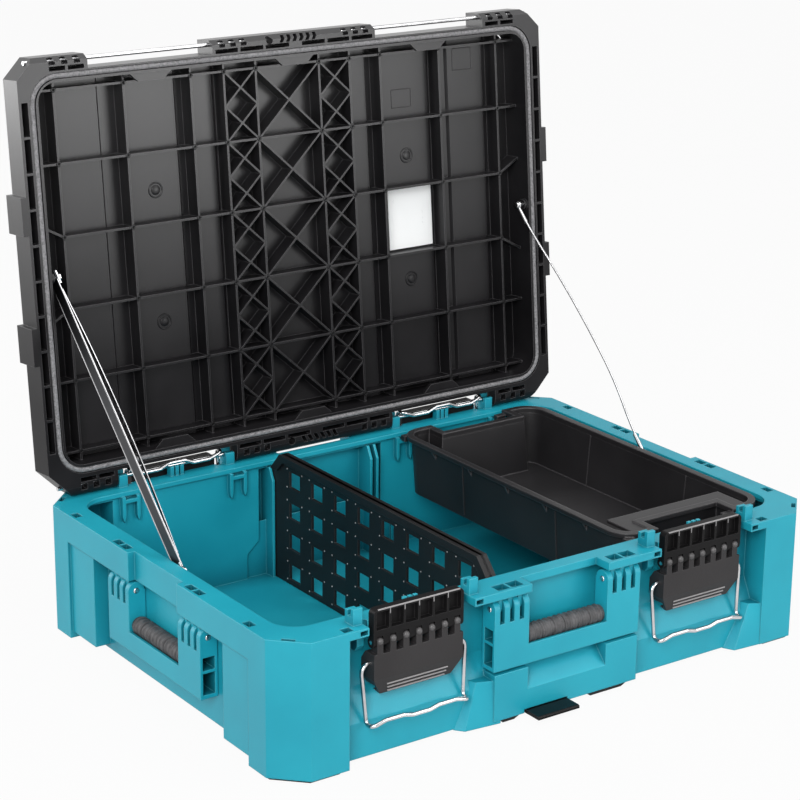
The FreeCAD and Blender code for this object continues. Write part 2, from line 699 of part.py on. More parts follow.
def make_divider():
    x = DIVIDER_X
    half = DIVIDER_HALF
    outline = [(-half, FLOOR_TOP + 0.3), (half, FLOOR_TOP + 0.3), (half, 131),
               (half - 20, DIVIDER_TOP), (20 - half, DIVIDER_TOP), (-half, 131)]
    edge = [(-half + 2, 128), (half - 2, 128), (half - 21, DIVIDER_TOP), (21 - half, DIVIDER_TOP)]
    trim = [(-half - 1, 118), (half + 1, 118), (half - 12, 131), (half - 26, DIVIDER_TOP - 8),
            (26 - half, DIVIDER_TOP - 8), (12 - half, 131)]
    panel = prism_x(outline, x - 1.6, x + 1.6)
    bead = prism_x(outline, x - 6, x + 6).cut([
        prism_x(trim, x - 7, x + 7), box(x - 7, x + 7, -half - 1, half + 1, 0, 133)])
    body = join([panel, bead])
    pitch_y = 43.5
    pitch_z = 31.0
    for i in range(DIVIDER_COLUMNS):
        y = (i - (DIVIDER_COLUMNS - 1) / 2) * pitch_y
        for j in range(DIVIDER_ROWS):
            z = 33 + j * pitch_z
            body = body.cut(box(x - 7, x + 7, y - 9, y + 9, z - 8.5, z + 8.5))
    return body


def make_release_tab():
    outline = [(-253, 5.8), (-253, 8.2), (-251.5, 9.2), (-220, 9.2), (-220, 18), (-217, 18),
               (-217, 5.8)]
    return prism_x(outline, -50, 0)


def stay_frame(shape):
    """Place a stay piece drawn along Y from the lower pivot."""
    lid = swing_point(LID_ANCHOR, (ROD_Y, ROD_Z), -LID_OPEN)
    slope = math.degrees(math.atan2(lid[1] - STAY_BASE[1], lid[0] - STAY_BASE[0]))
    copy = shape.copy()
    copy.rotate(V(0, 0, 0), V(1, 0, 0), slope)
    copy.translate(V(0, STAY_BASE[0], STAY_BASE[1]))
    return copy


def stay_length(base):
    lid = swing_point(LID_ANCHOR, (ROD_Y, ROD_Z), -LID_OPEN)
    return math.hypot(lid[0] - base[0], lid[1] - base[1])


def make_stay():
    """Strips and end tongues of the left stay, at rest."""
    length = stay_length(STAY_BASE)
    low, high = -12.0, STRIP_WIDTH - 12.0
    outer = box(-297, -297 + STRIP, -6, length + 6, low, high)
    pivots = [Part.makeCylinder(2.4, 20, V(-305, y, 0), V(1, 0, 0)) for y in (0, length)]
    outer = outer.cut(pivots)
    x = -296.1
    bow = 10.0
    near = Part.Arc(V(x, 16, low), V(x + bow, length / 2, low), V(x, length - 16, low)).toShape()
    far = Part.Arc(V(x + STRIP, length - 16, low), V(x + bow + STRIP, length / 2, low),
                   V(x + STRIP, 16, low)).toShape()
    ends = [Part.makeLine(V(x, length - 16, low), V(x + STRIP, length - 16, low)),
            Part.makeLine(V(x + STRIP, 16, low), V(x, 16, low))]
    inner = Part.Face(Part.Wire([near, ends[0], far, ends[1]])).extrude(V(0, 0, high - low))
    base_tongue = join([box(-298.6, -297.1, -6, 9, low, 4), bar_x((0, 0), 6, -298.6, -297.1)])
    base_tongue = base_tongue.cut(bar_x((0, 0), BORE_R, -300, -290))
    lid_tongue = box(-295.2, -293.7, length - 9, length + 6, low, 4)
    lid_tongue = lid_tongue.cut(bar_x((length, 0), BORE_R, -300, -290))
    pieces = {"stay_strip_outer": outer, "stay_strip_inner": inner,
              "stay_base_tongue": base_tongue, "stay_lid_tongue": lid_tongue}
    return {name: stay_frame(shape) for name, shape in pieces.items()}


def make_screw(axis, side, near, far):
    """Screw along X with a round head at its inner end."""
    shank = bar_x(axis, PIN_R, min(near, far), max(near, far))
    head = bar_x(axis, 4.2, far, far + 2.2) if side < 0 else bar_x(axis, 4.2, far - 2.2, far)
    return join([shank, head])


def make_eyelet(x, axis, toward):
    """Ring and crimped sleeve at an end of the cable."""
    run = V(0, toward[0] - axis[0], toward[1] - axis[1]).normalize()
    start = V(x, axis[0], axis[1])
    ring = bar_x(axis, 5, x - 0.9, x + 0.9)
    sleeve = Part.makeCylinder(1.9, 12.4, start + run * 4.6, run)
    bore = Part.makeCylinder(CABLE_R + 0.02, 9, start + run * 9, run)
    return join([ring, sleeve]).cut([bar_x(axis, BORE_R, x - 5, x + 5), bore])


def make_cable(base_x, lid_x):
    """Slack steel cable from the base eyelet to the lid eyelet, bowed outward."""
    lid = swing_point(LID_ANCHOR, (ROD_Y, ROD_Z), -LID_OPEN)
    a = V(base_x, CABLE_BASE[0], CABLE_BASE[1])
    b = V(lid_x, lid[0], lid[1])
    run = V(0, b.y - a.y, b.z - a.z)
    length = run.Length
    run.normalize()
    sag = V(CABLE_BOW, 0, -4)
    lower = a + run * (length * 0.3) + sag * 0.85
    crown = (a + b) * 0.5 + sag
    upper = b - run * (length * 0.3) + sag * 0.85
    points = [a + run * 10, a + run * 34, lower, crown, upper, b - run * 34, b - run * 10]
    return bent_wire(points, 60, CABLE_R)


def opened(shape):
    """Lid piece in the open rest place."""
    return turned(shape, (ROD_Y, ROD_Z), -LID_OPEN)


pieces = {"base_shell": make_base()}



def nearer(shape):
    """Latch piece moved to the front rods."""
    return shape.translated(V(0, FRONT_SHIFT, 0))


corners = {"front_left": lambda s: s, "front_right": in_x,
           "rear_left": in_y, "rear_right": lambda s: in_y(in_x(s))}
foot = make_foot()
plate = make_latch_plate()
lever = make_latch_lever()
pin = bar_x(LEVER_PIN, PIN_R, -LATCH_X - LATCH_HALF, LATCH_HALF - LATCH_X)
hanging = make_bail(BAIL_HANG)
hooked = make_bail(0)
for place, copy in corners.items():
    front = place.startswith("front")
    latch = {"plate": plate, "pin": pin, "lever": lever, "bail": hanging if front else hooked}
    pieces["rubber_foot_" + place] = copy(foot)
    for name, shape in latch.items():
        pieces["latch_" + name + "_" + place] = copy(nearer(shape) if front else shape)

frame = make_handle_frame()
grip = make_handle_grip()
handle_pin = bar_x(HANDLE_PIN, PIN_R, ARM_INNER, HANDLE_HALF)
walls = {"front": lambda s: s, "left": to_left, "right": lambda s: in_x(to_left(s))}
for wall, copy in walls.items():
    pieces["handle_frame_" + wall] = copy(frame)
    pieces["handle_grip_" + wall] = copy(grip)
    pieces["handle_pin_" + wall + "_a"] = copy(in_x(handle_pin))
    pieces["handle_pin_" + wall + "_b"] = copy(handle_pin)

pieces["lid_shell"] = opened(make_lid())
pieces["lid_gasket"] = opened(make_gasket())
lid_rod = bar_x((-ROD_Y, ROD_Z), ROD_R, -ROD_OUTER, -ROD_INNER)
for place, copy in corners.items():
    rod = nearer(lid_rod) if place.startswith("front") else lid_rod
    pieces["lid_rod_" + place] = opened(copy(rod))
pieces["lid_label"] = opened(box(131, 190, -34, 34, DECK_Z - 0.4, DECK_Z))

pieces.update(make_stay())
lid_pivot = swing_point(LID_ANCHOR, (ROD_Y, ROD_Z), -LID_OPEN)
pieces["stay_base_screw"] = make_screw(STAY_BASE, -1, -302.4, -296.1)
pieces["stay_lid_screw"] = make_screw(lid_pivot, -1, -304.3, -293.6)
pieces["cable_base_screw"] = make_screw(CABLE_BASE, 1, 302.4, 296.9)
pieces["cable_lid_screw"] = make_screw(lid_pivot, 1, 304.3, 292.3)
pieces["cable_base_eyelet"] = make_eyelet(297.9, CABLE_BASE, lid_pivot)
pieces["cable_lid_eyelet"] = make_eyelet(293.3, lid_pivot, CABLE_BASE)
pieces["lid_cable"] = make_cable(297.9, 293.3)

pieces["tray"] = make_tray()
pieces["divider"] = make_divider()
pieces["release_tab"] = make_release_tab()

for name, shape in pieces.items():
    shape.exportStep("parts/" + name + ".step")
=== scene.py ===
import math

import bmesh
import bpy
from mathutils import Matrix, Vector


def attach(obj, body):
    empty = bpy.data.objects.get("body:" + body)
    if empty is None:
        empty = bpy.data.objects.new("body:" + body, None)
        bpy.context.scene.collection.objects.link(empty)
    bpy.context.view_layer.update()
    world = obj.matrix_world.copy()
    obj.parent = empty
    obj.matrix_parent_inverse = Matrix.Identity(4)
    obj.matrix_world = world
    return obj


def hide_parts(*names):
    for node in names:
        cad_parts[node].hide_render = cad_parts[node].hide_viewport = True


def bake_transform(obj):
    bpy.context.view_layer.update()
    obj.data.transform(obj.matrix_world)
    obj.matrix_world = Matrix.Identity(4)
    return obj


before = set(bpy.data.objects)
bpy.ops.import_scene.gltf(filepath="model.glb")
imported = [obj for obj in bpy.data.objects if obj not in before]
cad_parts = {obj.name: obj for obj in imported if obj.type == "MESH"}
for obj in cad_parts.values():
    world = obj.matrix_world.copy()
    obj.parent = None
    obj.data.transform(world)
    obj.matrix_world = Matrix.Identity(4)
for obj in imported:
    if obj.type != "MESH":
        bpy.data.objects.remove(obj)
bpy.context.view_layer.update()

scene = bpy.context.scene
scene.view_settings.view_transform = "Standard"

MM = 0.001
SIGNS = (-1, 1)

# Sizes shared with the moulded parts, in millimetres and degrees
LID_OPEN = 95.3
HINGE = (219.0, 149.5)          # lid hinge, Y and Z
LID_Z = 139.5                   # rim plane of the shut lid
DECK_FACE = 177.5               # inner face of the lid
BAND_FACE = 174.5               # raised bands on it
BANDS = ((82, 112), (128, 195), (218, 272))     # edges on each side of the middle
CAVITY_Y = 196.0                # half depth of the lid's hollow
RIB_Z = 158.2                   # free edges of the lid's ribs
RIB_COLUMNS = (39.7, 79.0, 118.9, 197.8, 277.0)
RIB_ROWS = 6
RIB_PITCH = 74.6
LATCH_X = 173.5
LATCH_HALF = 50.5
KNUCKLES = 7
KNUCKLE_PITCH = 14.5
CORNERS = {"front_left": (-1, -1), "front_right": (1, -1), "rear_left": (-1, 1), "rear_right": (1, 1)}
FRONT_SHIFT = 2.5               # the front latches stand this much further in
STAY_BASE = (-10.0, 132.0)      # lower screw of the stay, Y and Z
CABLE_BASE = (5.0, 131.0)       # lower screw of the cable
LID_ANCHOR = (0.0, 147.5)       # upper screws, on the shut lid
CABLE_X = (297.9, 293.3)        # cable at the base and at the lid
DIVIDER_FACES = (-65.6, -62.4)
DIVIDER_HALF = 196.0
DIVIDER_LOW = 7.3
DIVIDER_SHOULDER = 131.0        # its upper corners are cut off from here
DIVIDER_TOP = 153.0
DIVIDER_CUT = 20.0
TRAY_X = 194.0


def mm(x, y, z):
    return Vector((x, y, z)) * MM


def on_lid(x, y, z):
    """Point of the open lid from its place on the shut lid."""
    turn = math.radians(-LID_OPEN)
    dy, dz = y - HINGE[0], z - HINGE[1]
    return mm(x, HINGE[0] + dy * math.cos(turn) - dz * math.sin(turn),
              HINGE[1] + dy * math.sin(turn) + dz * math.cos(turn))


# Camera, floor and light

CAMERA_TURN = (-35.24, 17.94, 0.55)     # azimuth, elevation and roll
CAMERA_AIM = (-36.55, 0, 255.94)
CAMERA_DISTANCE = 2383.5
CAMERA_LENS = 106.66
SENSOR_WIDTH = 36
AMBIENT = 0.18
FLOOR_REACH = 14.0              # metres
FLOOR_GREY = 0.45
FLOOR_GLOW = 0.95               # share of plain white in the floor that is seen


def place_camera():
    azimuth, elevation, roll = (math.radians(a) for a in CAMERA_TURN)
    back = Vector((math.sin(azimuth) * math.cos(elevation), -math.cos(azimuth) * math.cos(elevation),
                   math.sin(elevation)))
    right = (-back).cross(Vector((0, 0, 1))).normalized()
    up = right.cross(-back)
    side = right * math.cos(roll) + up * math.sin(roll)
    top = up * math.cos(roll) - right * math.sin(roll)
    data = bpy.data.cameras.new("photo_camera")
    data.sensor_width = SENSOR_WIDTH
    data.lens = CAMERA_LENS
    camera = bpy.data.objects.new("photo_camera", data)
    scene.collection.objects.link(camera)
    eye = mm(*CAMERA_AIM) + back * (CAMERA_DISTANCE * MM)
    camera.matrix_world = Matrix((
        (side.x, top.x, back.x, eye.x), (side.y, top.y, back.y, eye.y),
        (side.z, top.z, back.z, eye.z), (0, 0, 0, 1)))
    scene.camera = camera


def soft_lamp(name, place, size, watts, aim=(0, 0, 0.2)):
    """Flat lamp; its place, size and aim are in metres."""
    data = bpy.data.lights.new(name, "AREA")
    data.shape = "RECTANGLE"
    data.size, data.size_y = size
    data.energy = watts
    lamp = bpy.data.objects.new(name, data)
    scene.collection.objects.link(lamp)
    lamp.location = place
    lamp.rotation_euler = (Vector(aim) - Vector(place)).to_track_quat("-Z", "Y").to_euler()


def seen_directly(tree):
    """1 for rays that show the studio itself: camera, mirror and glass rays."""
    path = tree.nodes.new("ShaderNodeLightPath")
    total = path.outputs["Is Camera Ray"]
    for ray in ("Is Glossy Ray", "Is Transmission Ray"):
        add = tree.nodes.new("ShaderNodeMath")
        add.operation = "MAXIMUM"
        tree.links.new(total, add.inputs[0])
        tree.links.new(path.outputs[ray], add.inputs[1])
        total = add.outputs[0]
    return total


def light_studio():
    world = bpy.data.worlds.new("pale_room")
    scene.world = world
    world.use_nodes = True
    tree = world.node_tree
    ambient = tree.nodes["Background"]
    ambient.inputs["Color"].default_value = (1, 1, 1, 1)
    ambient.inputs["Strength"].default_value = AMBIENT
    seen = tree.nodes.new("ShaderNodeBackground")
    seen.inputs["Strength"].default_value = 1.0
    mix = tree.nodes.new("ShaderNodeMixShader")
    tree.links.new(seen_directly(tree), mix.inputs[0])
    tree.links.new(ambient.outputs[0], mix.inputs[1])
    tree.links.new(seen.outputs[0], mix.inputs[2])
    tree.links.new(mix.outputs[0], tree.nodes["World Output"].inputs[0])
    soft_lamp("key_left", (-2.1, -2.1, 1.7), (1.6, 1.6), 92)
    soft_lamp("fill_right", (1.6, -1.25, 2.2), (1.2, 1.2), 14)
    soft_lamp("overhead", (0.1, -0.2, 2.8), (2.2, 1.6), 30)
    soft_lamp("low_right", (0.85, -1.65, 0.5), (0.9, 0.6), 9.5, (-0.25, 0.25, 0.5))
    soft_lamp("behind_left", (-1.5, 1.9, 0.7), (1.4, 1.2), 22, (-0.3, 0.2, 0.3))


def lay_floor():
    mesh = bpy.data.meshes.new("floor")
    r = FLOOR_REACH
    mesh.from_pydata([(-r, -r, 0), (r, -r, 0), (r, r, 0), (-r, r, 0)], [], [(0, 1, 2, 3)])
    floor = bpy.data.objects.new("floor", mesh)
    scene.collection.objects.link(floor)
    paper = bpy.data.materials.new("pale_paper")
    paper.use_nodes = True
    tree = paper.node_tree
    shader = tree.nodes["Principled BSDF"]
    shader.inputs["Base Color"].default_value = (FLOOR_GREY, FLOOR_GREY, FLOOR_GREY, 1)
    shader.inputs["Roughness"].default_value = 0.9
    glow = tree.nodes.new("ShaderNodeEmission")
    glow.inputs["Strength"].default_value = 1.0
    mix = tree.nodes.new("ShaderNodeMixShader")
    share = tree.nodes.new("ShaderNodeMath")
    share.operation = "MULTIPLY"
    share.inputs[1].default_value = FLOOR_GLOW
    tree.links.new(seen_directly(tree), share.inputs[0])
    tree.links.new(share.outputs[0], mix.inputs[0])
    tree.links.new(shader.outputs[0], mix.inputs[1])
    tree.links.new(glow.outputs[0], mix.inputs[2])
    tree.links.new(mix.outputs[0], tree.nodes["Material Output"].inputs[0])
    mesh.materials.append(paper)


place_camera()
light_studio()
lay_floor()


# Shader groups

def group(name, inputs, outputs):
    tree = bpy.data.node_groups.new(name, "ShaderNodeTree")
    for label, kind, value in inputs:
        socket = tree.interface.new_socket(name=label, in_out="INPUT", socket_type="NodeSocket" + kind)
        if value is not None:
            socket.default_value = value
    for label, kind in outputs:
        tree.interface.new_socket(name=label, in_out="OUTPUT", socket_type="NodeSocket" + kind)
    return tree, tree.nodes.new("NodeGroupInput"), tree.nodes.new("NodeGroupOutput")


def math_node(tree, operation, first, second):
    node = tree.nodes.new("ShaderNodeMath")
    node.operation = operation
    for socket, value in zip(node.inputs, (first, second)):
        if isinstance(value, (int, float)):
            socket.default_value = value
        else:
            tree.links.new(value, socket)
    return node.outputs[0]


def noise(tree, vector, scale, detail=3.0, rough=0.55):
    node = tree.nodes.new("ShaderNodeTexNoise")
    node.inputs["Detail"].default_value = detail
    node.inputs["Roughness"].default_value = rough
    tree.links.new(vector, node.inputs["Vector"])
    if isinstance(scale, (int, float)):
        node.inputs["Scale"].default_value = scale
    else:
        tree.links.new(scale, node.inputs["Scale"])
    return node.outputs[0]


def ramp(tree, value, low, high):
    node = tree.nodes.new("ShaderNodeMapRange")
    node.inputs["From Min"].default_value = low
    node.inputs["From Max"].default_value = high
    tree.links.new(value, node.inputs["Value"])
    return node.outputs[0]


def make_mould_grain():
    """Spark-eroded grain of a mould, with broad uneven tone."""
    tree, source, sink = group(
        "mould_grain", [("Vector", "Vector", None), ("Scale", "Float", 900.0), ("Flow", "Float", 9.0)],
        [("Height", "Float"), ("Tone", "Float")])
    place = source.outputs["Vector"]
    coarser = math_node(tree, "MULTIPLY", source.outputs["Scale"], 0.35)
    fine = noise(tree, place, source.outputs["Scale"], 2.0)
    pits = noise(tree, place, coarser, 2.0)
    tree.links.new(math_node(tree, "ADD", fine, pits), sink.inputs["Height"])
    tree.links.new(noise(tree, place, source.outputs["Flow"]), sink.inputs["Tone"])
    return tree


def make_soft_edges():
    """Rounded normal for moulded edges, and a mask of where they are, which carries a painted highlight."""
    tree, source, sink = group("soft_edges", [("Radius", "Float", 0.001)],
                               [("Normal", "Vector"), ("Edge", "Float")])
    bevel = tree.nodes.new("ShaderNodeBevel")
    bevel.samples = 6
    tree.links.new(source.outputs["Radius"], bevel.inputs["Radius"])
    surface = tree.nodes.new("ShaderNodeNewGeometry")
    dot = tree.nodes.new("ShaderNodeVectorMath")
    dot.operation = "DOT_PRODUCT"
    tree.links.new(bevel.outputs[0], dot.inputs[0])
    tree.links.new(surface.outputs["Normal"], dot.inputs[1])
    tree.links.new(bevel.outputs[0], sink.inputs["Normal"])
    tree.links.new(ramp(tree, math_node(tree, "SUBTRACT", 1.0, dot.outputs["Value"]), 0.02, 0.3),
                   sink.inputs["Edge"])
    return tree


def make_painted_shade_mask():
    """Mask for painted shade in the corners and pockets of a moulding's own shape, from ambient occlusion.
    """
    tree, source, sink = group("painted_shade_mask", [("Reach", "Float", 0.03)], [("Cavity", "Float")])
    hidden = tree.nodes.new("ShaderNodeAmbientOcclusion")
    hidden.samples = 8
    hidden.only_local = True
    tree.links.new(source.outputs["Reach"], hidden.inputs["Distance"])
    tree.links.new(ramp(tree, math_node(tree, "SUBTRACT", 1.0, hidden.outputs["AO"]), 0.12, 0.85),
                   sink.inputs["Cavity"])
    return tree


MOULD_GRAIN = make_mould_grain()
SOFT_EDGES = make_soft_edges()
PAINTED_SHADE_MASK = make_painted_shade_mask()


# Finishes

COAT_ROUGHNESS = 0.34
SHADE_REACH = 0.045            # metres from a pocket's walls over which shade is painted
GRAIN_RELIEF = 0.0004


def placed(tree, group_tree, values):
    node = tree.nodes.new("ShaderNodeGroup")
    node.node_tree = group_tree
    for label, value in values.items():
        node.inputs[label].default_value = value
    return node


def mixed(tree, factor, first, second):
    node = tree.nodes.new("ShaderNodeMix")
    node.data_type = "RGBA"
    tree.links.new(factor, node.inputs["Factor"])
    colours = [s for s in node.inputs if s.type == "RGBA"]
    for socket, value in zip(colours, (first, second)):
        if isinstance(value, tuple):
            socket.default_value = value + (1,)
        else:
            tree.links.new(value, socket)
    return [s for s in node.outputs if s.type == "RGBA"][0]


def new_finish(name, **sockets):
    material = bpy.data.materials.new(name)
    material.use_nodes = True
    shader = material.node_tree.nodes["Principled BSDF"]
    for label, value in sockets.items():
        shader.inputs[label.replace("_", " ")].default_value = value
    return material, material.node_tree, shader


def object_place(tree, scale=(1, 1, 1)):
    coords = tree.nodes.new("ShaderNodeTexCoord")
    mapping = tree.nodes.new("ShaderNodeMapping")
    mapping.inputs["Scale"].default_value = scale
    tree.links.new(coords.outputs["Object"], mapping.inputs["Vector"])
    return mapping.outputs[0]


def set_gloss(tree, shader, value, rough):
    """Roughness between two bounds, following a value."""
    node = tree.nodes.new("ShaderNodeMapRange")
    node.inputs["To Min"].default_value, node.inputs["To Max"].default_value = rough
    tree.links.new(value, node.inputs["Value"])
    tree.links.new(node.outputs[0], shader.inputs["Roughness"])


def set_relief(tree, shader, height, strength, distance, normal=None):
    """Fine relief of a surface, on its own normal or on another."""
    bump = tree.nodes.new("ShaderNodeBump")
    bump.inputs["Strength"].default_value = strength
    bump.inputs["Distance"].default_value = distance
    tree.links.new(height, bump.inputs["Height"])
    if normal is not None:
        tree.links.new(normal, bump.inputs["Normal"])
    tree.links.new(bump.outputs[0], shader.inputs["Normal"])


def moulded(name, dark, light, edge, grain=900.0, depth=0.12, rough=(0.38, 0.5), radius=0.0012,
            edge_highlight_share=0.5, flow=9.0, specular=0.5, shine=None, pocket_shade=None):
    """Moulded plastic: two tones, soft edges with a painted highlight, and fine grain.

    shine gives the heights between which a coat grows, pocket_shade a darker colour painted as shade in the
    moulding's own corners and pockets."""
    material, tree, shader = new_finish(name, Specular_IOR_Level=specular)
    place = object_place(tree)
    if shine:
        height = tree.nodes.new("ShaderNodeSeparateXYZ")
        tree.links.new(place, height.inputs[0])
        tree.links.new(ramp(tree, height.outputs["Z"], *shine), shader.inputs["Coat Weight"])
        shader.inputs["Coat Roughness"].default_value = COAT_ROUGHNESS
    grit = placed(tree, MOULD_GRAIN, {"Scale": grain, "Flow": flow})
    tree.links.new(place, grit.inputs["Vector"])
    soft = placed(tree, SOFT_EDGES, {"Radius": radius})
    tone = mixed(tree, ramp(tree, grit.outputs["Tone"], 0.3, 0.7), dark, light)
    # Painted shade: a darker colour laid into the moulding's own corners and pockets
    if pocket_shade:
        pocket = placed(tree, PAINTED_SHADE_MASK, {"Reach": SHADE_REACH})
        tone = mixed(tree, pocket.outputs["Cavity"], tone, pocket_shade)
    # Painted highlight: the pale edge colour laid along the rounded edges
    share = math_node(tree, "MULTIPLY", soft.outputs["Edge"], edge_highlight_share)
    tree.links.new(mixed(tree, share, tone, edge), shader.inputs["Base Color"])
    set_gloss(tree, shader, grit.outputs["Tone"], rough)
    set_relief(tree, shader, grit.outputs["Height"], depth, GRAIN_RELIEF, soft.outputs["Normal"])
    return material


def plated(name, dark, light, rough=(0.18, 0.34), scale=(1, 1, 1)):
    """Plated or drawn steel with faint streaks."""
    material, tree, shader = new_finish(name, Metallic=1.0)
    streak = noise(tree, object_place(tree, scale), 45.0, 2.0, 0.5)
    tree.links.new(mixed(tree, ramp(tree, streak, 0.3, 0.7), dark, light), shader.inputs["Base Color"])
    set_gloss(tree, shader, streak, rough)
    set_relief(tree, shader, streak, 0.03, 0.0002)
    return material


def make_seal_foam():
    """Grey foam cord with open pores."""
    material, tree, shader = new_finish("seal_foam", Roughness=0.85)
    pores = noise(tree, object_place(tree), 420.0, 4.0, 0.7)
    shade = mixed(tree, ramp(tree, pores, 0.35, 0.7), (0.11, 0.108, 0.113), (0.32, 0.315, 0.323))
    tree.links.new(shade, shader.inputs["Base Color"])
    set_relief(tree, shader, pores, 0.5, 0.0008)
    return material


def make_label_paper():
    """White sticker with a few grey scuffs."""
    material, tree, shader = new_finish("label_paper", Roughness=0.5)
    marks = noise(tree, object_place(tree, (1, 0.3, 0.3)), 130.0, 6.0, 0.75)
    shade = mixed(tree, ramp(tree, marks, 0.62, 0.8), (0.84, 0.85, 0.85), (0.35, 0.36, 0.37))
    tree.links.new(shade, shader.inputs["Base Color"])
    return material


# The third colour of each moulding is a painted highlight along its rounded edges.
TEAL = moulded("teal_moulding", (0.008, 0.3, 0.4), (0.013, 0.36, 0.465), (0.12, 0.55, 0.63),
               grain=1100.0, depth=0.1, rough=(0.36, 0.48), radius=0.0014, specular=0.4,
               # painted shade colour for the teal's own corners and pockets
               pocket_shade=(0.002, 0.09, 0.125))
CHARCOAL = moulded("charcoal_moulding", (0.008, 0.0076, 0.0085), (0.015, 0.0143, 0.0155),
                   (0.17, 0.165, 0.172), grain=1000.0, depth=0.1, rough=(0.26, 0.42), radius=0.001,
                   edge_highlight_share=0.7, flow=14.0, specular=0.1, shine=(0.24, 0.56))
TRAY_BLACK = moulded("tray_moulding", (0.011, 0.0105, 0.0115), (0.02, 0.019, 0.0205),
                     (0.17, 0.16, 0.168), grain=700.0, depth=0.16, rough=(0.36, 0.52), radius=0.0024,
                     edge_highlight_share=0.55, specular=0.42)
LATCH_BLACK = moulded("latch_moulding", (0.005, 0.0048, 0.005), (0.01, 0.0095, 0.01),
                      (0.1, 0.096, 0.098), depth=0.1, rough=(0.34, 0.48), radius=0.0008,
                      edge_highlight_share=0.4, specular=0.1)
LEVER_BLACK = moulded("lever_moulding", (0.02, 0.0185, 0.0195), (0.03, 0.028, 0.029),
                      (0.13, 0.125, 0.128), grain=600.0, depth=0.22, rough=(0.42, 0.56), radius=0.001,
                      edge_highlight_share=0.45, specular=0.25)
DIVIDER_BLACK = moulded("divider_moulding", (0.007, 0.007, 0.0075), (0.013, 0.0128, 0.0135),
                        (0.08, 0.08, 0.082), depth=0.1, rough=(0.34, 0.5), radius=0.0009, specular=0.25)
GRIP_RUBBER = moulded("grip_rubber", (0.04, 0.039, 0.041), (0.1, 0.098, 0.102),
                      (0.28, 0.275, 0.285), grain=500.0, depth=0.5, rough=(0.45, 0.65), radius=0.0008,
                      flow=120.0, specular=0.35)
FOOT_RUBBER = moulded("foot_rubber", (0.012, 0.012, 0.012), (0.02, 0.02, 0.02), (0.04, 0.04, 0.04),
                      grain=500.0, depth=0.4, rough=(0.65, 0.85), specular=0.2)
TAB_GLOSS = moulded("tab_gloss_black", (0.003, 0.003, 0.0033), (0.006, 0.006, 0.0065),
                    (0.35, 0.35, 0.36), grain=1200.0, depth=0.02, rough=(0.12, 0.2),
                    edge_highlight_share=0.15, specular=0.1)
# Pale studs: a painted highlight on the divider's small bosses.
STUD_HIGHLIGHT = moulded("stud_highlight", (0.2, 0.2, 0.2), (0.32, 0.32, 0.32), (0.45, 0.45, 0.45), depth=0.05)
# Pale line colour: a painted highlight on the plates' rib tops and upper edges and on the levers' raised
# bars.
HIGHLIGHT_LINE = moulded("pale_highlight_line", (0.2, 0.195, 0.198), (0.3, 0.29, 0.293), (0.45, 0.45, 0.45), depth=0.1)
KNUCKLE_GREY = moulded("knuckle_grey", (0.05, 0.048, 0.049), (0.09, 0.086, 0.088), (0.2, 0.2, 0.2))
ZINC = plated("bright_zinc", (0.5, 0.5, 0.51), (0.7, 0.7, 0.71), (0.16, 0.26))
SPRING_STEEL = plated("dark_spring_steel", (0.03, 0.031, 0.034), (0.07, 0.072, 0.077), (0.34, 0.46),
                      (1, 0.08, 0.08))
SEAL_FOAM = make_seal_foam()
LABEL_PAPER = make_label_paper()

# The first prefix that fits a node's name gives its finish
NODE_FINISH = (
    ("base_shell", TEAL), ("handle_frame", TEAL), ("lid_shell", CHARCOAL), ("tray", TRAY_BLACK),
    ("divider", DIVIDER_BLACK), ("latch_plate", LATCH_BLACK), ("latch_lever", LEVER_BLACK),
    ("handle_grip", GRIP_RUBBER), ("rubber_", FOOT_RUBBER), ("release_tab", TAB_GLOSS),
    ("lid_gasket", SEAL_FOAM), ("lid_label", LABEL_PAPER), ("stay_strip", SPRING_STEEL), ("", ZINC))
for name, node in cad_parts.items():
    finish = next(f for prefix, f in NODE_FINISH if name.startswith(prefix))
    for slot in node.material_slots:
        slot.material = finish


# Geometry Nodes trees for what repeats

def repeat_tree(name, inputs):
    tree = bpy.data.node_groups.new(name, "GeometryNodeTree")
    tree.interface.new_socket(name="Geometry", in_out="INPUT", socket_type="NodeSocketGeometry")
    for label, kind, value in inputs:
        socket = tree.interface.new_socket(name=label, in_out="INPUT", socket_type="NodeSocket" + kind)
        if value is not None:
            socket.default_value = value
    tree.interface.new_socket(name="Finish", in_out="INPUT", socket_type="NodeSocketMaterial")
    tree.interface.new_socket(name="Geometry", in_out="OUTPUT", socket_type="NodeSocketGeometry")
    return tree, tree.nodes.new("NodeGroupInput"), tree.nodes.new("NodeGroupOutput")


def close_tree(tree, source, sink, geometry):
    """Ends a tree in plain, smooth geometry with its finish."""
    plain = tree.nodes.new("GeometryNodeRealizeInstances")
    smooth = tree.nodes.new("GeometryNodeSetShadeSmooth")
    finish = tree.nodes.new("GeometryNodeSetMaterial")
    tree.links.new(geometry, plain.inputs["Geometry"])
    tree.links.new(plain.outputs[0], smooth.inputs["Geometry"])
    tree.links.new(smooth.outputs[0], finish.inputs["Geometry"])
    tree.links.new(source.outputs["Finish"], finish.inputs["Material"])
    tree.links.new(finish.outputs[0], sink.inputs["Geometry"])


def instances(tree, source, shape):
    """The shape at each point, turned as the tree's input says."""
    put = tree.nodes.new("GeometryNodeInstanceOnPoints")
    tree.links.new(source.outputs["Geometry"], put.inputs["Points"])
    tree.links.new(shape, put.inputs["Instance"])
    tree.links.new(source.outputs["Turn"], put.inputs["Rotation"])
    return put.outputs[0]


def swept(tree, path, radius, sides):
    """Tube of a round section along a curve, with closed ends."""
    section = tree.nodes.new("GeometryNodeCurvePrimitiveCircle")
    section.inputs["Resolution"].default_value = sides
    tree.links.new(radius, section.inputs["Radius"])
    sweep = tree.nodes.new("GeometryNodeCurveToMesh")
    sweep.inputs["Fill Caps"].default_value = True
    tree.links.new(path, sweep.inputs["Curve"])
    tree.links.new(section.outputs["Curve"], sweep.inputs["Profile Curve"])
    return sweep.outputs[0]


